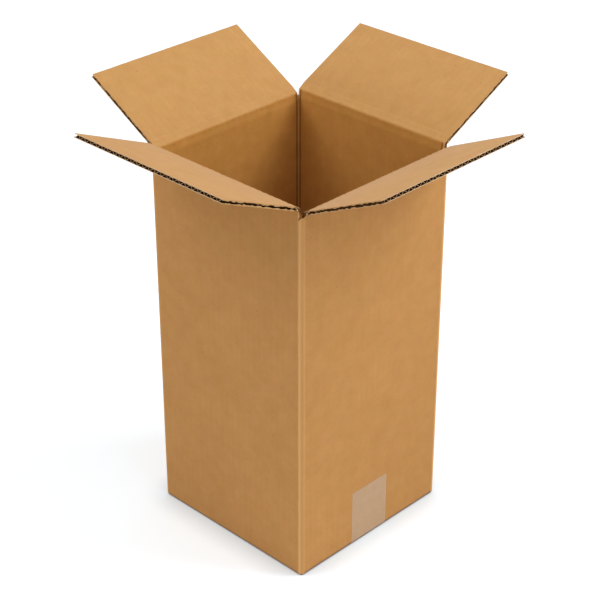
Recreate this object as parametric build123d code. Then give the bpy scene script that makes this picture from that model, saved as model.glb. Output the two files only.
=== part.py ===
"""Open cardboard box: a regular slotted carton of single wall corrugated board, 8 x 8 x 16 inches,
with its four top flaps folded out and its bottom flaps folded in and taped. Units are mm, Z is up, the
box stands on the floor at z = 0. The seam under the box and its tape run along X."""
from build123d import *
import math
import os

os.makedirs("parts", exist_ok=True)

# Size of the folded box, over the outside of the walls, and height up to the scores of the long pair of
# flaps. Two inch tape covers a quarter of a face in the photo, which gives the 203 mm.
box_width = 203.0
box_height = 406.0

# The sheet: single wall board, medium flute. Liner and medium are drawn a little thicker than paper is.
board_thickness = 4.2
liner_thickness = 0.4
medium_thickness = 0.4
flute_pitch = 7.9

# Each slope of the wave takes this share of the pitch. No open flute comes closer to a side edge of a
# flap than the margin, and the groove along that edge is at least this deep.
wave_slope_share = 0.27
flute_margin = 2.5
least_groove_depth = 0.8

# Scores: the board is crushed to this thickness where it folds, and swells back over the ramp length.
crushed_thickness = 2.4
crush_ramp = 5.0

# The hinge line of each top flap lies this far outside the face of its wall, so that the flap can lie on
# the wall top when closed and against the wall when folded right back.
hinge_offset = 0.15
mitre_gap = 0.10

# Gap left between two flaps that meet in the middle, and between layers that lie on each other.
seam_gap = 1.0
layer_gap = 0.3

# The slots between the flaps: distance from a wall's outer face to the side edge of the flap beside it.
slot_half_outer = 3.6
slot_run_past_score = 1.8

# How far each top flap stands above level, as the photo shows them.
front_flap_rise = 23.5
right_flap_rise = 25.0
left_flap_rise = 29.5
back_flap_rise = 26.5

# Folded corners: the outside is a tight round and the inside is a crushed flat across the corner.
corner_radius = 4.0
inner_corner_flat = 2.6
bottom_fold_radius = 3.6
end_wall_lift = 0.5

# The folded feet of the walls are drawn up to this far above the bottom flaps, and overlap the tube.
foot_height = 4.0
foot_overlap = 1.0

# The glued tab that closes the sheet into a tube, on the inside of the front wall.
tab_width = 35.0
tab_thickness = 2.8
tab_end_gap = 9.0
tab_end_taper = 9.0

# The strip of packing tape along the bottom seam and up both end walls.
tape_width = 50.8
tape_thickness = 0.15
tape_rise = 63.5
tape_y_shift = -2.5

# Lengths that follow from the sizes above.
half = box_width / 2
inner_half = half - board_thickness
base_z = tape_thickness
hinge_reach = half + hinge_offset
major_hinge_z = box_height
minor_hinge_z = box_height - board_thickness - layer_gap
flap_end = hinge_reach - seam_gap / 2
major_flap_half = half - slot_half_outer
minor_flap_half = inner_half - layer_gap
mitre_start = hinge_offset + mitre_gap * math.sqrt(2)
full_thickness_start = mitre_start + crushed_thickness + crush_ramp
tunnel_start = full_thickness_start + board_thickness
fold_top = base_z + 2 * board_thickness + layer_gap + foot_height

# Tools that cut run past the face they cut by the overcut, reach clear of the part with the reach, and
# the one that trims above the walls starts a hair inside their outer faces.
overcut = 0.5
cutter_reach = 5 * board_thickness
cutter_clear = 6.0
hair = 0.001


def prism(points, length):
    """A prism on a closed outline in the X and Z directions, centred along Y."""
    face = make_face(Polyline(*[(x, 0, z) for x, z in points], close=True))
    return extrude(face, amount=length / 2, dir=(0, 1, 0), both=True)


def quarter_turns(shape, turns):
    """The shape turned about the box's upright axis by quarter turns."""
    return Rot(0, 0, 90 * turns) * shape


# Channel sections of the flute, in the direction across the flap and through its thickness. The medium
# runs as a wave between the liners, so the open channels point up and down in turn.
def channel_section(upper):
    low = hinge_offset + liner_thickness
    high = hinge_offset + board_thickness - liner_thickness
    slope = wave_slope_share * flute_pitch
    lean = math.hypot(slope, high - low) / (high - low)
    wide = flute_pitch / 4 + slope / 2 - medium_thickness * lean / 2
    narrow = flute_pitch / 4 - slope / 2 - medium_thickness * lean / 2
    if upper:
        open_at, closed_at = high, low + medium_thickness
    else:
        open_at, closed_at = low, high - medium_thickness
    return [(-wide, open_at), (wide, open_at), (narrow, closed_at), (-narrow, closed_at)]


def channel(points, across, start, end):
    """One open flute along the flap, from start to end, centred at a place across it."""
    face = make_face(Polyline(*[(start, across + y, z) for y, z in points], close=True))
    return extrude(face, amount=end - start, dir=(1, 0, 0))


def flap(half_width):
    """A top flap that points straight out along X from a hinge line on the Y axis, inside face up."""
    low = hinge_offset
    high = hinge_offset + board_thickness
    outline = [
        (mitre_start, low),
        (mitre_start + crushed_thickness, low + crushed_thickness),
        (full_thickness_start, high),
        (flap_end, high),
        (flap_end, low),
    ]
    sheet = prism(outline, 2 * half_width)
    cuts = []
    count = int((half_width - flute_margin) // (flute_pitch / 2))
    for step in range(-count, count + 1):
        place = step * flute_pitch / 2
        section = channel_section(upper=step % 2 == 0)
        cuts.append(channel(section, place, tunnel_start, flap_end + overcut))
    # the two side edges are cut along a flute, so each shows one long groove between the liners, which
    # runs on to where the board starts to thin
    groove_length = flap_end + overcut - full_thickness_start
    groove_depth = half_width - count * flute_pitch / 2 - flute_pitch / 4 - medium_thickness
    groove_height = board_thickness - 2 * liner_thickness
    groove_middle = hinge_offset + board_thickness / 2
    for side in (-1, 1):
        groove = Box(groove_length, 2 * max(groove_depth, least_groove_depth), groove_height)
        middle = full_thickness_start + groove_length / 2
        cuts.append(Pos(middle, side * half_width, groove_middle) * groove)
    return sheet - Compound(cuts)


def hung_flap(shape, rise, hinge_z, turns):
    """The flap raised by its angle and put on its wall."""
    return quarter_turns(Pos(hinge_reach, 0, hinge_z) * Rot(0, -rise, 0) * shape, turns)


# The four walls: one tube with rounded outside corners and crushed inside ones.
tube_bottom = base_z + slot_run_past_score
tube_height = box_height - tube_bottom
outside = extrude(RectangleRounded(box_width, box_width, corner_radius), amount=tube_height)
inside_outline = chamfer(Rectangle(2 * inner_half, 2 * inner_half).vertices(), inner_corner_flat)
inside = extrude(inside_outline, amount=tube_height)
body = Pos(0, 0, tube_bottom) * (outside - inside)

# The tube is trimmed at the wall tops. Each wall ends in a mitre under its hinge line, and the inner face
# swells from the crushed score to full thickness.
for turns in range(4):
    hinge_z = minor_hinge_z if turns % 2 == 0 else major_hinge_z
    beyond = board_thickness + overcut
    mitre = [
        (hinge_reach + cutter_clear, hinge_z - mitre_gap * math.sqrt(2) + cutter_clear),
        (hinge_reach - hinge_offset - beyond, hinge_z - mitre_start - beyond),
        (hinge_reach - hinge_offset - beyond, hinge_z + cutter_reach),
        (hinge_reach + cutter_clear, hinge_z + cutter_reach),
    ]
    body -= quarter_turns(prism(mitre, 2 * (half + cutter_reach)), turns)
    above = [
        (hinge_reach + cutter_clear, hinge_z - mitre_start),
        (half - hair, hinge_z - mitre_start),
        (half - hair, hinge_z + cutter_reach),
        (hinge_reach + cutter_clear, hinge_z + cutter_reach),
    ]
    body -= quarter_turns(prism(above, 2 * (half + cutter_reach)), turns)
    ramp = [
        (half - crushed_thickness, hinge_z - mitre_start - crushed_thickness),
        (half - board_thickness, hinge_z - mitre_start - crushed_thickness - crush_ramp),
        (half - beyond, hinge_z - mitre_start - crushed_thickness - crush_ramp),
        (half - beyond, hinge_z),
        (half - crushed_thickness, hinge_z),
    ]
    body -= quarter_turns(prism(ramp, 2 * (inner_half - inner_corner_flat)), turns)

# The slots between the top flaps run a little past the scores and leave a notch at each corner. Inside
# the walls the corner folds end lower still, clear of the short pair of flaps when it is closed.
notch_floor = minor_hinge_z - slot_run_past_score
mouth_floor = notch_floor - crushed_thickness
for turns in range(4):
    notch = Box(board_thickness, board_thickness, cutter_reach, align=(Align.MIN, Align.MIN, Align.MIN))
    body -= quarter_turns(Pos(inner_half, inner_half, notch_floor) * notch, turns)
mouth = Box(2 * inner_half, 2 * inner_half, cutter_reach, align=(Align.CENTER, Align.CENTER, Align.MIN))
body -= Pos(0, 0, mouth_floor) * mouth

# Bottom flaps. The long pair folds in last and is the outer layer, so its walls roll round into it.
with BuildSketch(Plane.XZ) as outer_layer:
    with BuildLine():
        r = bottom_fold_radius
        Polyline(
            (half - r, base_z),
            (seam_gap / 2, base_z),
            (seam_gap / 2, base_z + board_thickness),
            (inner_half, base_z + board_thickness),
            (inner_half, fold_top),
            (half, fold_top),
            (half, base_z + r),
        )
        JernArc((half, base_z + r), (0, -1), r, -90)
    make_face()
outer_flap = extrude(outer_layer.sketch, amount=inner_half - layer_gap, both=True)

# The short pair is the inner layer. Its walls reach almost to the floor beside the outer layer.
inner_floor = base_z + board_thickness + layer_gap
with BuildSketch(Plane.XZ) as inner_layer:
    with BuildLine():
        r = bottom_fold_radius
        foot = base_z + end_wall_lift
        Polyline(
            (half - r, foot),
            (inner_half, foot),
            (inner_half, inner_floor),
            (seam_gap / 2, inner_floor),
            (seam_gap / 2, inner_floor + board_thickness),
            (inner_half, inner_floor + board_thickness),
            (inner_half, fold_top),
            (half, fold_top),
            (half, foot + r),
        )
        JernArc((half, foot + r), (0, -1), r, -90)
    make_face()
inner_flap = extrude(inner_layer.sketch, amount=inner_half - layer_gap, both=True)

# The walls roll over into the flaps between the corner posts, so the tube makes room for them there.
room_height = fold_top - foot_overlap
room = Box(half, 2 * (inner_half - layer_gap), room_height, align=(Align.MIN, Align.CENTER, Align.MIN))
for turns in range(4):
    body -= quarter_turns(Pos(inner_half, 0, 0) * room, turns)
for turns in (0, 2):
    body += quarter_turns(inner_flap, turns)
for turns in (1, 3):
    body += quarter_turns(outer_flap, turns)

# The glued tab: the end of the sheet, folded round the left front corner and glued inside the front wall.
tab_low = fold_top + tab_end_gap
tab_high = minor_hinge_z - board_thickness - tab_end_gap
tab_outline = Polyline(
    (-inner_half, -inner_half, tab_low),
    (-inner_half + tab_width, -inner_half, tab_low + tab_end_taper),
    (-inner_half + tab_width, -inner_half, tab_high - tab_end_taper),
    (-inner_half, -inner_half, tab_high),
    close=True,
)
body += extrude(make_face(tab_outline), amount=tab_thickness, dir=(0, 1, 0))

# The bottom tape follows the seam, bends round the lower edges and climbs both end walls.
bend = bottom_fold_radius + end_wall_lift
with BuildSketch(Plane.XZ) as tape_half:
    with BuildLine():
        r = bend
        t = tape_thickness
        Line((0, 0), (half - r, 0))
        JernArc((half - r, 0), (1, 0), r + t, 90)
        Polyline((half + t, r + t), (half + t, tape_rise), (half, tape_rise), (half, r + t))
        JernArc((half, r + t), (0, -1), r, -90)
        Polyline((half - r, t), (0, t), (0, 0))
    make_face()
tape_side = extrude(tape_half.sketch, amount=tape_width / 2, both=True)
tape = tape_side + quarter_turns(tape_side, 2)
tape = Pos(0, tape_y_shift, 0) * tape

major_flap = flap(major_flap_half)
minor_flap = flap(minor_flap_half)

pieces = {
    "box_body": body,
    "flap_front": hung_flap(major_flap, front_flap_rise, major_hinge_z, 3),
    "flap_right": hung_flap(minor_flap, right_flap_rise, minor_hinge_z, 0),
    "flap_back": hung_flap(major_flap, back_flap_rise, major_hinge_z, 1),
    "flap_left": hung_flap(minor_flap, left_flap_rise, minor_hinge_z, 2),
    "bottom_tape": tape,
}
for name, shape in pieces.items():
    export_step(shape, f"parts/{name}.step")
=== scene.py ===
"""Open cardboard box, dressed over its CAD model: kraft board walls, score creases, four fluted top flaps
and the clear tape on the bottom seam. Metres, Z up; the box stands on the floor at the origin."""
import math

import bmesh
import bpy
from mathutils import Matrix, Vector, noise


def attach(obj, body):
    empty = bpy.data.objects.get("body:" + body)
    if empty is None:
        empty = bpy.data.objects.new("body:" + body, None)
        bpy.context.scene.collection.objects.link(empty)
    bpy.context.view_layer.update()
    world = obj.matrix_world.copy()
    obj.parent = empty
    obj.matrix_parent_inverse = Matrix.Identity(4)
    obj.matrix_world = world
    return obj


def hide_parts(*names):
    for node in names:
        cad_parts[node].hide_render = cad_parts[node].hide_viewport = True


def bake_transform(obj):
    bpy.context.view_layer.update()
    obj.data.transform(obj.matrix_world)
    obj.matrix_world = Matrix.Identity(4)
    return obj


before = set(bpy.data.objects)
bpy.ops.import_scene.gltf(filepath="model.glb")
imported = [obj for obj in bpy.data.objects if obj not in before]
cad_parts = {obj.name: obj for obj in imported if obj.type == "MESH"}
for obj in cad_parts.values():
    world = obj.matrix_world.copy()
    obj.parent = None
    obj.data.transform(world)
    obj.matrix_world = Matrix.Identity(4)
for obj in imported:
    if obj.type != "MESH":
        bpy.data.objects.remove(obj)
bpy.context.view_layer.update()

# Walls and bottom. One sheet of single wall board, scored and folded into a tube, with its glued tab
# inside one corner and its four bottom flaps folded in. The faces are unbleached kraft paper: brown and a
# little cloudy, with short fibres, specks of bark and faint stripes of painted shade from the ripple over
# the flutes.
box_half = 0.1015
board = 0.0042
flute_pitch = 0.0079
corner_flat = 0.0026

# The inside paper covers what lies above the folded bottom and within the wall's inner face, with the
# slopes under the scores, which lean out from that face.
inside_from = 0.0085
score_slope = 0.0016

same_point = 1e-6
same_plane = math.radians(0.5)

# The paper's hue drifts slowly in two ways, each with its own clouds: red to green, and blue to yellow.
# Each cast is a share of the paper's own middle colour.
hue_drifts = (
    {"turn": (0.7, 0.2, 0.1), "casts": ((1.04, 0.91, 1.0), (0.97, 1.03, 1.0))},
    {"turn": (0.1, 0.9, 0.4), "casts": ((1.0, 1.0, 1.12), (1.0, 1.0, 0.86))},
)
hue_strength = 0.24
bark_share = (0.62, 0.55, 0.5)
speck_size = 0.09


def calculate(tree, operation, *values):
    """A math node on sockets or plain numbers."""
    step = tree.nodes.new("ShaderNodeMath")
    step.operation = operation
    for socket, value in zip(step.inputs, values):
        if isinstance(value, (int, float)):
            socket.default_value = value
        else:
            tree.links.new(value, socket)
    return step.outputs[0]


def clouds(tree, place, scale, detail=2.0, stretch=(1.0, 1.0, 1.0), turn=(0.0, 0.0, 0.0)):
    """Noise around zero, from about -0.5 to 0.5, on a stretched and turned place."""
    mapping = tree.nodes.new("ShaderNodeMapping")
    mapping.inputs["Scale"].default_value = stretch
    mapping.inputs["Rotation"].default_value = turn
    tree.links.new(place, mapping.inputs["Vector"])
    pattern = tree.nodes.new("ShaderNodeTexNoise")
    pattern.inputs["Scale"].default_value = scale
    pattern.inputs["Detail"].default_value = detail
    tree.links.new(mapping.outputs[0], pattern.inputs["Vector"])
    return calculate(tree, "SUBTRACT", pattern.outputs[0], 0.5)


def tint(tree, amount, under, over):
    """Lays one colour over another by an amount; each colour is a socket or three numbers."""
    mix = tree.nodes.new("ShaderNodeMix")
    mix.data_type = "RGBA"
    mix.clamp_factor = True
    tree.links.new(amount, mix.inputs["Factor"])
    for name, colour in (("A", under), ("B", over)):
        if isinstance(colour, tuple):
            mix.inputs[name].default_value = (*colour, 1.0)
        else:
            tree.links.new(colour, mix.inputs[name])
    return mix.outputs["Result"]


def ramp(tree, value, low, high):
    """0 below low and 1 above high, with a soft step between."""
    step = tree.nodes.new("ShaderNodeMapRange")
    step.interpolation_type = "SMOOTHSTEP"
    step.inputs["From Min"].default_value = low
    step.inputs["From Max"].default_value = high
    tree.links.new(value, step.inputs["Value"])
    return step.outputs[0]


def axes_of(tree, place):
    """The X, Y and Z of a place."""
    parts = tree.nodes.new("ShaderNodeSeparateXYZ")
    tree.links.new(place, parts.inputs[0])
    return parts.outputs


def fine_relief(tree, surface, height, strength):
    """Bump of a fifth of a millimetre at the most, for paper and film."""
    relief = tree.nodes.new("ShaderNodeBump")
    relief.inputs["Strength"].default_value = strength
    relief.inputs["Distance"].default_value = 0.0002
    tree.links.new(height, relief.inputs["Height"])
    tree.links.new(relief.outputs[0], surface.inputs["Normal"])


def plain_material(name, roughness, gloss):
    """A new material with its roughness and gloss set, its node tree and its shader."""
    material = bpy.data.materials.new(name)
    material.use_nodes = True
    tree = material.node_tree
    surface = tree.nodes["Principled BSDF"]
    surface.inputs["Roughness"].default_value = roughness
    surface.inputs["Specular IOR Level"].default_value = gloss
    return material, tree, surface


def kraft_paper(
    name, dark, light, cloudy=0.9, fibrous=0.5, flute_shade=0.05, roughness=0.8, gloss=0.15, fuzz=0.0, marks_and_painted_light=None
):
    """Kraft liner: two browns mixed by clouds of pulp and short fibres, with faint stripes of painted shade
    across the flutes.
    """
    paper, tree, surface = plain_material(name, roughness, gloss)
    surface.inputs["Sheen Weight"].default_value = fuzz
    surface.inputs["Sheen Roughness"].default_value = 0.35
    place = tree.nodes.new("ShaderNodeTexCoord").outputs["Object"]
    pulp = clouds(tree, place, scale=14.0)
    mottle = clouds(tree, place, scale=75.0, detail=4.0)
    grain = clouds(tree, place, scale=520.0)
    upright = clouds(tree, place, scale=1.0, stretch=(900.0, 900.0, 260.0), turn=(0.25, 0.2, 0.4))
    level = clouds(tree, place, scale=1.0, stretch=(170.0, 210.0, 950.0), turn=(0.2, 0.45, 0.9))
    amount = 0.5
    for pattern, weight in (
        (pulp, 0.5 * cloudy),
        (mottle, 1.0 * cloudy),
        (grain, 0.9 * fibrous),
        (upright, 0.6 * fibrous),
        (level, 0.6 * fibrous),
    ):
        amount = calculate(tree, "MULTIPLY_ADD", pattern, weight, amount)

    # Painted shade: faint stripes at the flute pitch, in patches, for the shadows of the liner's ripple over
    # the flutes; the same wave also drives the bump.
    across = tree.nodes.new("ShaderNodeAttribute")
    across.attribute_name = "across_flutes"
    flutes = calculate(tree, "MULTIPLY", across.outputs["Fac"], 2 * math.pi / flute_pitch)
    wave = calculate(tree, "SINE", flutes)
    flute_shade_patches = calculate(tree, "MULTIPLY", wave, ramp(tree, pulp, -0.12, 0.12))
    amount = calculate(tree, "MULTIPLY_ADD", flute_shade_patches, flute_shade, amount)
    colour = tint(tree, amount, dark, light)

    middle = [(one + two) / 2 for one, two in zip(dark, light)]
    for drift in hue_drifts:
        hue = clouds(tree, place, scale=70.0, detail=4.0, turn=drift["turn"])
        for sign, cast in zip((1.0, -1.0), drift["casts"]):
            patch = ramp(tree, calculate(tree, "MULTIPLY", hue, sign), -0.02, 0.16)
            towards = tuple(share * tone for share, tone in zip(cast, middle))
            colour = tint(tree, calculate(tree, "MULTIPLY", patch, hue_strength * cloudy), colour, towards)

    chips = tree.nodes.new("ShaderNodeTexVoronoi")
    chips.inputs["Scale"].default_value = 110.0
    tree.links.new(place, chips.inputs["Vector"])
    speck = calculate(tree, "LESS_THAN", chips.outputs["Distance"], speck_size)
    sown = ramp(tree, clouds(tree, place, scale=41.0, detail=1.0), 0.02, 0.09)
    speck = calculate(tree, "MULTIPLY", speck, sown)
    bark = tuple(tone * share for tone, share in zip(dark, bark_share))
    colour = tint(tree, calculate(tree, "MULTIPLY", speck, 0.4), colour, bark)
    # Optional marks: on these papers, painted highlight and shade along the folds.
    if marks_and_painted_light:
        colour = marks_and_painted_light(tree, place, colour)
    tree.links.new(colour, surface.inputs["Base Color"])

    height = calculate(tree, "MULTIPLY_ADD", wave, 0.10, calculate(tree, "MULTIPLY", mottle, 0.5))
    height = calculate(tree, "MULTIPLY_ADD", grain, 0.5, height)
    fine_relief(tree, surface, height, strength=0.4)
    return paper


def fold_highlight_and_rub(tree, place, colour):
    """Paints the four upright folds paler, most on the side the score lies on: partly paper stretched and
    worn by rubbing, partly a painted highlight on the fold's round face.
    """
    bend_begins, bend_full = box_half - 0.0056, box_half - 0.0036
    unevenness = 0.0012
    axes = axes_of(tree, place)
    x, y = (calculate(tree, "ABSOLUTE", axes[axis]) for axis in ("X", "Y"))
    nearest = calculate(tree, "MINIMUM", x, y)
    nearest = calculate(tree, "MULTIPLY_ADD", clouds(tree, place, scale=55.0), unevenness, nearest)
    bent = ramp(tree, nearest, bend_begins, bend_full)
    handed = calculate(tree, "SIGN", calculate(tree, "MULTIPLY", axes["X"], axes["Y"]))
    past_score = calculate(tree, "MULTIPLY", calculate(tree, "SUBTRACT", x, y), handed)
    scored = ramp(tree, past_score, -0.0004, 0.0022)
    rub_and_highlight = calculate(tree, "MULTIPLY", bent, calculate(tree, "MULTIPLY_ADD", scored, 0.58, 0.32))
    # The pale warm colour is partly the folds' worn paper and partly painted highlight.
    return tint(tree, rub_and_highlight, colour, (0.72, 0.40, 0.155))


def crease_shade_and_highlight(tree, place, colour):
    """Inside, each upright fold gets a dark line of painted crease shade on both sides of a narrow flat,
    which is painted paler as a highlight.
    """
    line_at = box_half - board - corner_flat
    unevenness = 0.0006
    axes = axes_of(tree, place)
    x, y = (calculate(tree, "ABSOLUTE", axes[axis]) for axis in ("X", "Y"))
    nearest = calculate(tree, "MINIMUM", x, y)
    off = calculate(tree, "ABSOLUTE", calculate(tree, "SUBTRACT", nearest, line_at))
    off = calculate(tree, "MULTIPLY_ADD", clouds(tree, place, scale=70.0), unevenness, off)
    pressed = calculate(tree, "SUBTRACT", 1.0, ramp(tree, off, 0.0003, 0.0016))
    flat = ramp(tree, nearest, line_at + 0.0006, line_at + 0.0016)
    # Painted highlight on the flat, then painted shade along the crease lines (pressed), a very dark brown.
    colour = tint(tree, calculate(tree, "MULTIPLY", flat, 0.5), colour, (0.75, 0.44, 0.17))
    return tint(tree, calculate(tree, "MULTIPLY", pressed, 0.65), colour, (0.14, 0.055, 0.012))


outer_kraft = kraft_paper(
    "outer kraft liner", (0.446, 0.214, 0.063), (0.569, 0.298, 0.101), marks_and_painted_light=fold_highlight_and_rub
)
# The walls' inside is the same liner as the flaps' inside, given less blue: a painted deeper, warmer cast of
# the shade inside the box.
inner_kraft_shaded = kraft_paper(
    "inner kraft liner", (0.46, 0.218, 0.046), (0.59, 0.296, 0.076), cloudy=1.4, marks_and_painted_light=crease_shade_and_highlight
)


def cad_mesh(node, merge_flat=False):
    """A copy of a CAD node's mesh, its loose triangles merged and, if asked, made one face where flat."""
    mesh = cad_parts[node].data.copy()
    mesh.materials.clear()
    merged = bmesh.new()
    merged.from_mesh(mesh)
    bmesh.ops.remove_doubles(merged, verts=merged.verts, dist=same_point)
    if merge_flat:
        bmesh.ops.dissolve_limit(merged, angle_limit=same_plane, verts=merged.verts, edges=merged.edges)
    merged.to_mesh(mesh)
    merged.free()
    return mesh


def mark_flutes(mesh, lies_along_y=False):
    """Stores how far across the flutes each corner of each face lies, for the paper's pattern."""
    mark = mesh.attributes.new("across_flutes", "FLOAT", "CORNER")
    for face in mesh.polygons:
        across_x = abs(face.normal.y) > abs(face.normal.x) and not lies_along_y
        for loop in face.loop_indices:
            point = mesh.vertices[mesh.loops[loop].vertex_index].co
            mark.data[loop].value = point.x if across_x else point.y


def finished(mesh, name, *materials, bend=35):
    """Makes an object of a mesh, shaded smooth up to an angle, with its materials in order."""
    mesh.name = name
    mesh.shade_smooth()
    mesh.set_sharp_from_angle(angle=math.radians(bend))
    for material in materials:
        mesh.materials.append(material)
    piece = bpy.data.objects.new(name, mesh)
    bpy.context.collection.objects.link(piece)
    return piece


walls_mesh = cad_mesh("box_body", merge_flat=True)
for face in walls_mesh.polygons:
    reach = max(abs(face.center.x), abs(face.center.y))
    is_inside = reach < box_half - board + score_slope and face.center.z > inside_from
    face.material_index = 1 if is_inside else 0
mark_flutes(walls_mesh)
carton_walls = finished(walls_mesh, "carton_walls", outer_kraft, inner_kraft_shaded)
even = carton_walls.modifiers.new("even shading", "WEIGHTED_NORMAL")
even.keep_sharp = True
evaluated = carton_walls.evaluated_get(bpy.context.evaluated_depsgraph_get())
carton_walls.data = bpy.data.meshes.new_from_object(evaluated)
carton_walls.modifiers.clear()
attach(carton_walls, "box")
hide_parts("box_body")

# Scores of the top flaps. Each flap folds on a line crushed into the board. The liner on the inside
# stretches over the fold in shallow scallops, one to a flute; the one outside only bends. At the ends the
# crushed medium shows between them.
hinge_reach = 0.10165
long_pair_height = 0.406
short_pair_height = 0.4015
outer_face = 0.00015
inner_face = 0.00435
mitre_start = 0.00029
crushed = 0.0024

# The inside liner over the fold: its skin, the round of its crest, how far it runs on to each side, and
# the scallops, which are deepest on the crest and worn unevenly.
skin = 0.0003
skin_face = inner_face + 0.00003
crest_radius = 0.0036
score_reach = 0.0080
scallop_reach = 0.006
scallop_depth = 0.00011
scallop_wear = 0.00016
scallop_sink = 0.00012
run_steps = 6
arc_steps = 10
steps_per_flute = 6

# The outside liner over the fold: its face lies just clear of the board's, its far rims dip under it.
bend_face = 0.0001
bend_rim = 0.0002
bend_at = 0.0005
bend_runs = ((0.0065, bend_rim), (0.0050, bend_face), (0.0025, bend_face), (bend_at, bend_face))

top_flaps = {
    "front": {"turns": 3, "height": long_pair_height, "half": 0.0979, "rise": 23.5},
    "right": {"turns": 0, "height": short_pair_height, "half": 0.0970, "rise": 25.0},
    "back": {"turns": 1, "height": long_pair_height, "half": 0.0979, "rise": 26.5},
    "left": {"turns": 2, "height": short_pair_height, "half": 0.0970, "rise": 29.5},
}

flap_kraft = kraft_paper(
    "inner kraft liner of the flaps", (0.45, 0.227, 0.066), (0.58, 0.314, 0.107), gloss=0.3, fuzz=0.13
)
# The medium is painted far darker than the liners: partly its own greyer pulp, mostly painted shade for its
# deep channels. The liners' faces inside the channels and the crushed ends of the scores take this dark
# paper too.
medium_kraft_shaded = kraft_paper(
    "fluted medium", (0.075, 0.028, 0.007), (0.145, 0.062, 0.018), fibrous=1.2, flute_shade=0.0, roughness=0.92
)


def wall_side(flap):
    """From a flap's wall, where X points out of the wall and the hinge is the origin, to its place."""
    turn = Matrix.Rotation(math.radians(90 * flap["turns"]), 4, "Z")
    return turn @ Matrix.Translation((hinge_reach, 0, flap["height"]))


def flap_directions(flap):
    """Along a flap, and away from its outside face, in the X and Z of its wall."""
    rise = math.radians(flap["rise"])
    return Vector((math.cos(rise), math.sin(rise))), Vector((-math.sin(rise), math.cos(rise)))


def flute_steps(flap, per_flute):
    """Steps across a flap, so many to a flute."""
    return round(2 * flap["half"] / (flute_pitch / per_flute))


def swept_strip(outline, width, steps, shift=None):
    """A closed strip: an outline in X and Z carried along Y, with an optional shift at each place."""
    strip = bmesh.new()
    rings = []
    for step in range(steps + 1):
        y = -width / 2 + width * step / steps
        ring = []
        for index, (x, z) in enumerate(outline):
            dx, dz = shift(index, y) if shift else (0.0, 0.0)
            ring.append(strip.verts.new((x + dx, y, z + dz)))
        rings.append(ring)
    for one, two in zip(rings, rings[1:]):
        for index in range(len(outline)):
            after = (index + 1) % len(outline)
            strip.faces.new((one[index], one[after], two[after], two[index]))
    strip.faces.new(rings[0][::-1])
    strip.faces.new(rings[-1])
    bmesh.ops.recalc_face_normals(strip, faces=strip.faces)
    return strip


def crease_on_wall(strip, name, flap, *papers):
    """Makes a piece of a strip along Y, marked for the flutes and put on its flap's wall."""
    mesh = bpy.data.meshes.new(name)
    strip.to_mesh(mesh)
    strip.free()
    mark_flutes(mesh, lies_along_y=True)
    mesh.transform(wall_side(flap))
    return finished(mesh, name, *papers)


def eased(share):
    """A share held between 0 and 1, with a soft start and end."""
    share = min(max(share, 0.0), 1.0)
    return share * share * (3 - 2 * share)


def inner_crease(name, flap):
    """The crushed board of a score, under the inside liner that runs from the wall onto the flap."""
    along, away = flap_directions(flap)
    runs = [score_reach * (1 - step / run_steps) for step in range(run_steps)]
    depths = [crest_radius + (skin_face - crest_radius) * eased(run / score_reach) for run in runs]
    fades = [1 - eased(run / scallop_reach) for run in runs]
    surface = [Vector((-depth, -run)) for run, depth in zip(runs, depths)]
    normals = [Vector((-1, 0))] * run_steps
    crest = fades + [1.0] * (arc_steps + 1) + fades[::-1]
    for step in range(arc_steps + 1):
        angle = math.pi - (math.pi / 2 - math.radians(flap["rise"])) * step / arc_steps
        out = Vector((math.cos(angle), math.sin(angle)))
        surface.append(out * crest_radius)
        normals.append(out)
    surface += [along * run + away * depth for run, depth in zip(runs[::-1], depths[::-1])]
    normals += [away] * run_steps

    underside = [point - normal * skin for point, normal in zip(surface, normals)]
    thin_runs = sum(run > crushed + mitre_start for run in runs)
    wedge = [
        along * (crushed + mitre_start) + away * (crushed + outer_face),
        along * mitre_start + away * outer_face,
        Vector((-outer_face, -mitre_start)),
        Vector((-crushed - outer_face, -crushed - mitre_start)),
    ]

    def around(top, under, between):
        """Values round the section: the skin's top, its underside on the flap, the wedge, and the wall's."""
        return top + under[-1:-1 - thin_runs:-1] + between + under[thin_runs - 1::-1]

    outline = around(surface, underside, wedge)
    facing = around(normals, normals, [away] * len(wedge))
    height = around(crest, crest, [0.0] * len(wedge))

    def scallop(index, y):
        """A dent in the skin at each flute, with uneven wear."""
        place = Vector((y * 160, flap["turns"] * 7.0, min(index, len(surface)) * 0.11))
        flute = math.cos(2 * math.pi * y / flute_pitch)
        dent = scallop_depth * flute + scallop_wear * noise.noise(place) - scallop_sink
        return facing[index] * dent * height[index]

    strip = swept_strip(outline, 2 * flap["half"], flute_steps(flap, steps_per_flute), scallop)
    papers = (inner_kraft_shaded, flap_kraft, medium_kraft_shaded)
    halfway = len(surface) // 2
    first_end = len(strip.faces) - 2
    for number, face in enumerate(strip.faces):
        on_flap = halfway <= number % len(outline) < len(surface) - 1
        paper = flap_kraft if on_flap else inner_kraft_shaded
        face.material_index = papers.index(medium_kraft_shaded if number >= first_end else paper)
    piece = crease_on_wall(strip, name, flap, *papers)
    return piece, Vector((-crest_radius, 0)), away * crest_radius


def outer_crease(name, flap):
    """The outside liner, which bends on the hinge line itself."""
    along, away = flap_directions(flap)
    bend = (Vector((-1, 0)) + away).normalized()
    path = [Vector((-depth, -run)) for run, depth in bend_runs]
    path.append(Vector((0.0, 0.0)))
    path += [along * run + away * depth for run, depth in reversed(bend_runs)]
    under = [Vector((-bend_face - skin, -run)) for run, _ in bend_runs]
    under.append(bend * skin)
    under += [along * run + away * (bend_face + skin) for run, _ in reversed(bend_runs)]
    strip = swept_strip(path + under[::-1], 2 * flap["half"], flute_steps(flap, 1))
    piece = crease_on_wall(strip, name, flap, outer_kraft)
    return piece, Vector((-bend_face, -bend_at)), along * bend_at + away * bend_face


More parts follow.
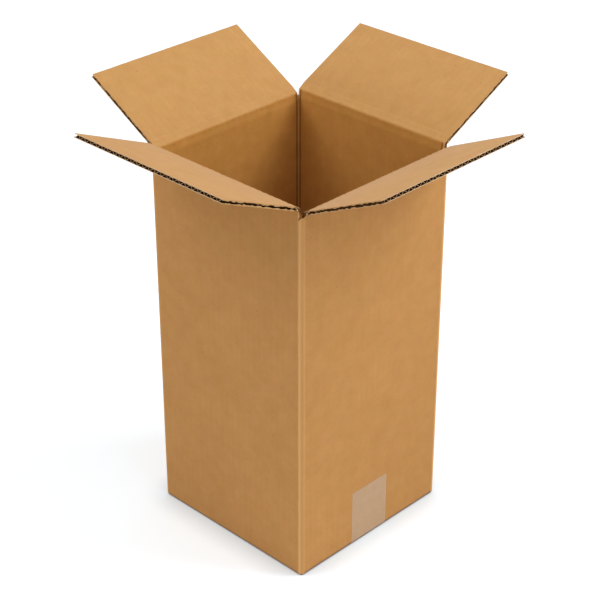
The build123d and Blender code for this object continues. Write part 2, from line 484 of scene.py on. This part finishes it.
for side, flap in top_flaps.items():
    for make, word in ((inner_crease, "inner"), (outer_crease, "outer")):
        crease, from_wall, to_flap = make(f"{side}_{word}_score", flap)
        place = wall_side(flap)
        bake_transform(crease)

# Top flaps. Two kraft liners glued to a fluted medium. The free edge is cut across the flutes and shows
# the wave with its open channels, pale and rough. The side edges are cut along a flute, where the knife
# tears the liners' lips, presses them together and leaves them browner.
flap_length = 0.10115
liner = 0.0006
medium = 0.0004
cavity_start = 0.0034
swell_end = 0.0077
fluting_start = 0.0107
part_way = 0.05
torn_steps = 48
sheet_steps_per_flute = 14

# The free edge's cut: how far it is ragged, how far it lies back and how far its lips are pressed in.
ragged_reach = 0.0012
cut_back = 0.00018
cut_back_varies = 0.00016
cut_press = 0.00010
cut_press_varies = 0.00020
medium_ragged = 0.0007

# The side edges' lips, each pressed in by these shares of the cavity's height.
lip_press = 0.15
lip_press_varies = 0.55
lip_press_least = 0.03
lip_press_most = 0.40

# The medium stops short of the free edge and of the side edges, and bites a hair into both liners.
medium_set_back = 0.0001
medium_side_margins = 0.0026
glue_bite = 0.00005

raw_edge = kraft_paper(
    "raw cut edge of the liners", (0.50, 0.31, 0.16), (0.73, 0.52, 0.32),
    fibrous=1.5, flute_shade=0.0, roughness=0.95,
)
torn_edge = kraft_paper(
    "torn side edge of the liners", (0.42, 0.235, 0.09), (0.56, 0.335, 0.15),
    fibrous=1.5, flute_shade=0.0, roughness=0.95,
)
medium_edge = kraft_paper(
    "raw cut edge of the medium", (0.39, 0.225, 0.105), (0.57, 0.36, 0.185),
    fibrous=1.5, flute_shade=0.0, roughness=0.95,
)


def fluting_tree():
    """Geometry nodes for the medium: a sheet waved across its width, thickened, rough at the cut."""
    tree = bpy.data.node_groups.new("fluted medium", "GeometryNodeTree")
    face = tree.interface
    for name in ("Run", "Width", "Pitch", "Wave height", "Paper", "Ragged"):
        face.new_socket(name=name, in_out="INPUT", socket_type="NodeSocketFloat")
    for name in ("Steps", "Seed"):
        face.new_socket(name=name, in_out="INPUT", socket_type="NodeSocketInt")
    face.new_socket(name="Paper finish", in_out="INPUT", socket_type="NodeSocketMaterial")
    face.new_socket(name="Geometry", in_out="OUTPUT", socket_type="NodeSocketGeometry")
    given = tree.nodes.new("NodeGroupInput").outputs
    link = tree.links.new

    def number(operation, *values):
        """A math node in this tree."""
        return calculate(tree, operation, *values)

    sheet = tree.nodes.new("GeometryNodeMeshGrid")
    link(given["Run"], sheet.inputs["Size X"])
    link(given["Width"], sheet.inputs["Size Y"])
    sheet.inputs["Vertices X"].default_value = 4
    link(given["Steps"], sheet.inputs["Vertices Y"])
    place = tree.nodes.new("GeometryNodeInputPosition").outputs[0]
    position = axes_of(tree, place)
    rough = tree.nodes.new("ShaderNodeTexNoise")
    rough.noise_dimensions = "4D"
    rough.inputs["Scale"].default_value = 700.0
    link(given["Seed"], rough.inputs["W"])
    link(place, rough.inputs["Vector"])

    turn = number("MULTIPLY", number("DIVIDE", position["Y"], given["Pitch"]), 2 * math.pi)
    lean = number("MULTIPLY", number("SUBTRACT", rough.outputs[0], 0.5), 0.5)
    swing = number("MULTIPLY", given["Wave height"], 0.5)
    wave = number("MULTIPLY", number("SINE", number("ADD", turn, lean)), swing)
    at_cut = number("GREATER_THAN", position["X"], number("MULTIPLY", given["Run"], 0.45))
    bitten = number("MULTIPLY", given["Ragged"], -1.0)
    torn = number("MULTIPLY", number("MULTIPLY", at_cut, rough.outputs[0]), bitten)
    offset = tree.nodes.new("ShaderNodeCombineXYZ")
    link(torn, offset.inputs["X"])
    link(wave, offset.inputs["Z"])
    waved = tree.nodes.new("GeometryNodeSetPosition")
    link(sheet.outputs["Mesh"], waved.inputs["Geometry"])
    link(offset.outputs[0], waved.inputs["Offset"])

    thick = tree.nodes.new("GeometryNodeExtrudeMesh")
    thick.inputs["Individual"].default_value = False
    link(waved.outputs[0], thick.inputs["Mesh"])
    link(given["Paper"], thick.inputs["Offset Scale"])
    underside = tree.nodes.new("GeometryNodeFlipFaces")
    link(waved.outputs[0], underside.inputs["Mesh"])
    both = tree.nodes.new("GeometryNodeJoinGeometry")
    link(thick.outputs["Mesh"], both.inputs[0])
    link(underside.outputs[0], both.inputs[0])
    closed = tree.nodes.new("GeometryNodeMergeByDistance")
    closed.inputs["Distance"].default_value = same_point
    link(both.outputs[0], closed.inputs["Geometry"])
    real = tree.nodes.new("GeometryNodeRealizeInstances")
    link(closed.outputs[0], real.inputs["Geometry"])
    painted = tree.nodes.new("GeometryNodeSetMaterial")
    link(real.outputs[0], painted.inputs["Geometry"])
    link(given["Paper finish"], painted.inputs["Material"])
    link(painted.outputs[0], tree.nodes.new("NodeGroupOutput").inputs["Geometry"])
    return tree


fluting = fluting_tree()


def fluted_sheet(flap, seed):
    """The medium of one flap as a mesh, between its liners, along the flap's own X."""
    run = flap_length - fluting_start
    sizes = {
        "Run": run,
        "Width": 2 * flap["half"] - medium_side_margins,
        "Pitch": flute_pitch,
        "Wave height": board - 2 * liner - medium + glue_bite,
        "Paper": medium,
        "Ragged": medium_ragged,
        "Steps": flute_steps(flap, sheet_steps_per_flute),
        "Seed": seed,
        "Paper finish": medium_kraft_shaded,
    }
    maker = bpy.data.objects.new("fluting maker", bpy.data.meshes.new("fluting maker"))
    bpy.context.collection.objects.link(maker)
    modifier = maker.modifiers.new("fluting", "NODES")
    modifier.node_group = fluting
    for item in fluting.interface.items_tree:
        if item.in_out == "INPUT":
            modifier[item.identifier] = sizes[item.name]
    evaluated = maker.evaluated_get(bpy.context.evaluated_depsgraph_get())
    mesh = bpy.data.meshes.new_from_object(evaluated)
    bpy.data.objects.remove(maker)
    middle = outer_face + board / 2 - medium / 2
    mesh.transform(Matrix.Translation((flap_length - medium_set_back - run / 2, 0, middle)))
    return mesh


def top_flap(name, flap, seed):
    """Both liners, joined where the score crushes them, and the medium between them."""
    low, high = outer_face, outer_face + board
    near_cut = flap_length - ragged_reach
    lowest_roof = low + crushed - liner / 2
    at_cut = flap["half"] - same_point

    def roof_at(run):
        """The cavity's roof, which climbs from the crushed score to the board's full thickness."""
        share = min((run - cavity_start) / (swell_end - cavity_start), 1.0)
        return lowest_roof + (high - liner - lowest_roof) * share

    runs = [cavity_start + (near_cut - cavity_start) * step / torn_steps for step in range(torn_steps + 1)]
    shape = [
        (mitre_start, low, "plain"),
        (part_way, low, "plain"),
        (near_cut, low, "plain"),
        (flap_length, low, "under"),
        (flap_length, low + liner, "under"),
        *((run, low + liner, "sill") for run in reversed(runs)),
        *((run, roof_at(run), "roof") for run in runs),
        (flap_length, high - liner, "over"),
        (flap_length, high, "over"),
        (near_cut, high, "plain"),
        (part_way, high, "plain"),
        (swell_end, high, "plain"),
        (mitre_start + crushed, low + crushed, "plain"),
    ]

    def knife(index, y):
        """Where the cut pushes a point: the liners' ends at the free edge, and the lips at the sides."""
        x, _, part = shape[index]
        inward = 1 if part in ("under", "sill") else -1
        if part in ("under", "over"):
            quick = noise.noise(Vector((y * 260, 3.0 * seed, 0.7 * inward)))
            slow = noise.noise(Vector((y * 55, 1.7 * seed, 0.4 * inward)))
            back = cut_back + cut_back_varies * quick
            return -back, (cut_press + cut_press_varies * abs(slow)) * inward
        if part in ("sill", "roof") and abs(y) > at_cut:
            end = 2.5 if y > 0 else 0.0
            torn = noise.noise(Vector((x * 300, 5.0 * seed + end, 0.8 * inward)))
            press = min(max(lip_press + lip_press_varies * torn, lip_press_least), lip_press_most)
            return 0.0, inward * (roof_at(x) - low - liner) * press
        return 0.0, 0.0

    outline = [(x, z) for x, z, _ in shape]
    shell = swept_strip(outline, 2 * flap["half"], flute_steps(flap, steps_per_flute), knife)
    papers = (outer_kraft, flap_kraft, raw_edge, medium_kraft_shaded, medium_edge, torn_edge)
    for face in shell.faces:
        middle = face.calc_center_median()
        at_side = abs(middle.y) > flap["half"] - 10 * same_point
        at_free_edge = middle.x > flap_length - ragged_reach / 2 and abs(face.normal.x) > 0.5
        on_inside = middle.z > high - liner * 0.4 or middle.x < swell_end and middle.z > low + crushed
        past_score = middle.x > cavity_start - 10 * same_point and abs(face.normal.z) > 0.5
        in_cavity_shade = past_score and low + liner * 0.9 < middle.z < high - liner * 0.9
        paper = flap_kraft if on_inside else outer_kraft
        if at_side:
            paper = torn_edge
        # Painted shade: the liners' faces inside the channels take the medium's dark paper.
        elif in_cavity_shade:
            paper = medium_kraft_shaded
        elif at_free_edge:
            paper = raw_edge
        face.material_index = papers.index(paper)
    mesh = bpy.data.meshes.new(name)
    shell.to_mesh(mesh)
    shell.free()
    mark_flutes(mesh, lies_along_y=True)
    piece = finished(mesh, name, *papers)

    wave = fluted_sheet(flap, seed)
    wave.shade_smooth()
    wave.set_sharp_from_angle(angle=math.radians(50))
    for face in wave.polygons:
        face.material_index = papers.index(medium_edge if face.normal.x > 0.7 else medium_kraft_shaded)
    joined = bmesh.new()
    joined.from_mesh(mesh)
    joined.from_mesh(wave)
    joined.to_mesh(mesh)
    joined.free()
    mesh.transform(wall_side(flap) @ Matrix.Rotation(math.radians(-flap["rise"]), 4, "Y"))
    return piece


for seed, (side, flap) in enumerate(top_flaps.items(), start=1):
    leaf = top_flap(f"{side}_top_flap", flap, seed)
    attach(leaf, f"{side}_flap")
    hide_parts(f"flap_{side}")

# Bottom tape. A strip of clear film with an aged acrylic glue, pressed along the seam and up both end
# walls. Over kraft paper it reads as a greyer, smoother brown with small silvery spots of trapped air,
# and under the box the gap of the seam shows through it as a dark line of painted shade.
tape_width = 0.0508
tape_middle = -0.0025
glint_begins, glint_full = tape_width / 2 - 0.0011, tape_width / 2 - 0.0004
seam_half, seam_fades = 0.0003, 0.0009
underside_top = 0.0003

film, tree, surface = plain_material("clear packing tape on kraft", roughness=0.34, gloss=0.5)
place = tree.nodes.new("ShaderNodeTexCoord").outputs["Object"]
through = calculate(tree, "MULTIPLY_ADD", clouds(tree, place, scale=90.0, detail=3.0), 0.9, 0.5)
through = calculate(tree, "MULTIPLY_ADD", clouds(tree, place, scale=14.0), 0.8, through)
through = calculate(tree, "MULTIPLY_ADD", clouds(tree, place, scale=520.0), 0.4, through)
colour = tint(tree, through, (0.415, 0.256, 0.131), (0.487, 0.311, 0.170))
trapped_air = ramp(tree, clouds(tree, place, scale=260.0, detail=3.0), 0.10, 0.22)
colour = tint(tree, calculate(tree, "MULTIPLY", trapped_air, 0.12), colour, (0.70, 0.55, 0.41))
axes = axes_of(tree, place)
from_middle = calculate(tree, "ABSOLUTE", calculate(tree, "SUBTRACT", axes["Y"], tape_middle))
# A paler rim along each side edge: partly the film's cut edge, partly a painted highlight where the edges
# catch the light.
edge_glint = ramp(tree, from_middle, glint_begins, glint_full)
colour = tint(tree, calculate(tree, "MULTIPLY", edge_glint, 0.35), colour, (0.62, 0.44, 0.27))
# Painted shade of the seam's gap: a dark line on the underside only.
clear_of_seam_shade = ramp(tree, calculate(tree, "ABSOLUTE", axes["Y"]), seam_half, seam_fades)
seam_gap_shade = calculate(tree, "SUBTRACT", 1.0, clear_of_seam_shade)
seam_gap_shade = calculate(tree, "MULTIPLY", seam_gap_shade, calculate(tree, "LESS_THAN", axes["Z"], underside_top))
colour = tint(tree, calculate(tree, "MULTIPLY", seam_gap_shade, 0.6), colour, (0.12, 0.07, 0.035))
tree.links.new(colour, surface.inputs["Base Color"])
fine_relief(tree, surface, clouds(tree, place, scale=60.0), strength=0.25)

tape = finished(cad_mesh("bottom_tape"), "seam_tape", film)
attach(tape, "box")
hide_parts("bottom_tape")

# Floor. A pale sheet to infinity, white to the eye, that keeps the soft shadow under the box. Near the box
# it has painted contact shade: occlusion dims its glow and darkens its colour, most where the board nearly
# touches it. To the light that it throws back it is a plain pale grey.
floor_half = 6
floor_corners = [(-floor_half, -floor_half, 0), (floor_half, -floor_half, 0)]
floor_corners += [(floor_half, floor_half, 0), (-floor_half, floor_half, 0)]
floor_mesh = bpy.data.meshes.new("floor")
floor_mesh.from_pydata(floor_corners, [], [(0, 1, 2, 3)])
floor = bpy.data.objects.new("floor", floor_mesh)
bpy.context.collection.objects.link(floor)


def seen_directly(tree):
    """1 where the eye, a gloss or a clear film looks at a surface, 0 where it only lights others."""
    rays = tree.nodes.new("ShaderNodeLightPath").outputs
    mirrored = calculate(tree, "MAXIMUM", rays["Is Glossy Ray"], rays["Is Transmission Ray"])
    return calculate(tree, "MAXIMUM", rays["Is Camera Ray"], mirrored)


def openness(tree, distance):
    """1 in the open and 0 in a gap, as far as the distance."""
    gap = tree.nodes.new("ShaderNodeAmbientOcclusion")
    gap.inputs["Distance"].default_value = distance
    return gap.outputs["AO"]


pale, tree, surface = plain_material("pale floor", roughness=0.9, gloss=0.2)
surface.inputs["Emission Color"].default_value = (1.0, 0.89, 0.80, 1.0)
# Painted shade: the glow for the eye fades by occlusion within a few centimetres of the box.
glow_clear_of_contact_shade = calculate(tree, "POWER", openness(tree, distance=0.03), 1.6)
lift = calculate(tree, "MULTIPLY", calculate(tree, "MULTIPLY", seen_directly(tree), glow_clear_of_contact_shade), 0.38)
tree.links.new(lift, surface.inputs["Emission Strength"])
# Painted contact shadow: the colour for the eye turns a dark brown-grey where the board nearly touches the
# floor.
clear_of_contact_shade = ramp(tree, openness(tree, distance=0.006), 0.25, 0.6)
shown = tint(tree, clear_of_contact_shade, (0.22, 0.17, 0.13), (0.745, 0.86, 0.95))
to_the_eye = tree.nodes.new("ShaderNodeLightPath").outputs["Is Camera Ray"]
tree.links.new(tint(tree, to_the_eye, (0.88, 0.88, 0.88), shown), surface.inputs["Base Color"])
floor_mesh.materials.append(pale)

# Light. An even white room, shown at full white and lighting the box at a lower level, and four wide soft
# lamps: the key from behind on the right, the fill from the left, and two weak ones low and high in front.
room_level = 0.54
lamp_size = 1.2
lit_place = Vector((0, 0, 0.25))
room = bpy.data.worlds.new("white room")
bpy.context.scene.world = room
room.use_nodes = True
tree = room.node_tree
air_light = tree.nodes["Background"]
air_light.inputs["Color"].default_value = (1.0, 1.0, 1.0, 1.0)
shown_level = calculate(tree, "MULTIPLY_ADD", seen_directly(tree), 1.0 - room_level, room_level)
tree.links.new(shown_level, air_light.inputs["Strength"])


def soft_lamp(name, place, power):
    """A wide square lamp turned to the middle of the box."""
    lamp = bpy.data.lights.new(name, "AREA")
    lamp.shape = "RECTANGLE"
    lamp.size = lamp.size_y = lamp_size
    lamp.energy = power
    holder = bpy.data.objects.new(name, lamp)
    holder.location = place
    holder.rotation_euler = (lit_place - Vector(place)).to_track_quat("-Z", "Y").to_euler()
    bpy.context.collection.objects.link(holder)


soft_lamp("key from behind on the right", (1.2, 1.2, 1.95), 29)
soft_lamp("fill from the left", (-1.2, -1.2, 1.95), 16.5)
soft_lamp("low on the right", (2.08, 0.0, 1.45), 6.5)
soft_lamp("high in front", (0.0, -1.2, 2.33), 4)

# Camera. It stands in front of the corner between the front and the right wall, looking down a little,
# as the photo was taken.
azimuth, elevation = math.radians(44.364), math.radians(29.451)
distance = 1.709513
aim = Vector((0, 0, 0.236913))
back = Vector((
    math.sin(azimuth) * math.cos(elevation),
    -math.cos(azimuth) * math.cos(elevation),
    math.sin(elevation),
))
lens = bpy.data.cameras.new("camera")
lens.sensor_width = 36.0
lens.lens = 101.97
camera = bpy.data.objects.new("camera", lens)
camera.location = aim + back * distance
camera.rotation_euler = back.to_track_quat("Z", "Y").to_euler()
bpy.context.collection.objects.link(camera)
bpy.context.scene.camera = camera
bpy.context.scene.view_settings.view_transform = "Standard"
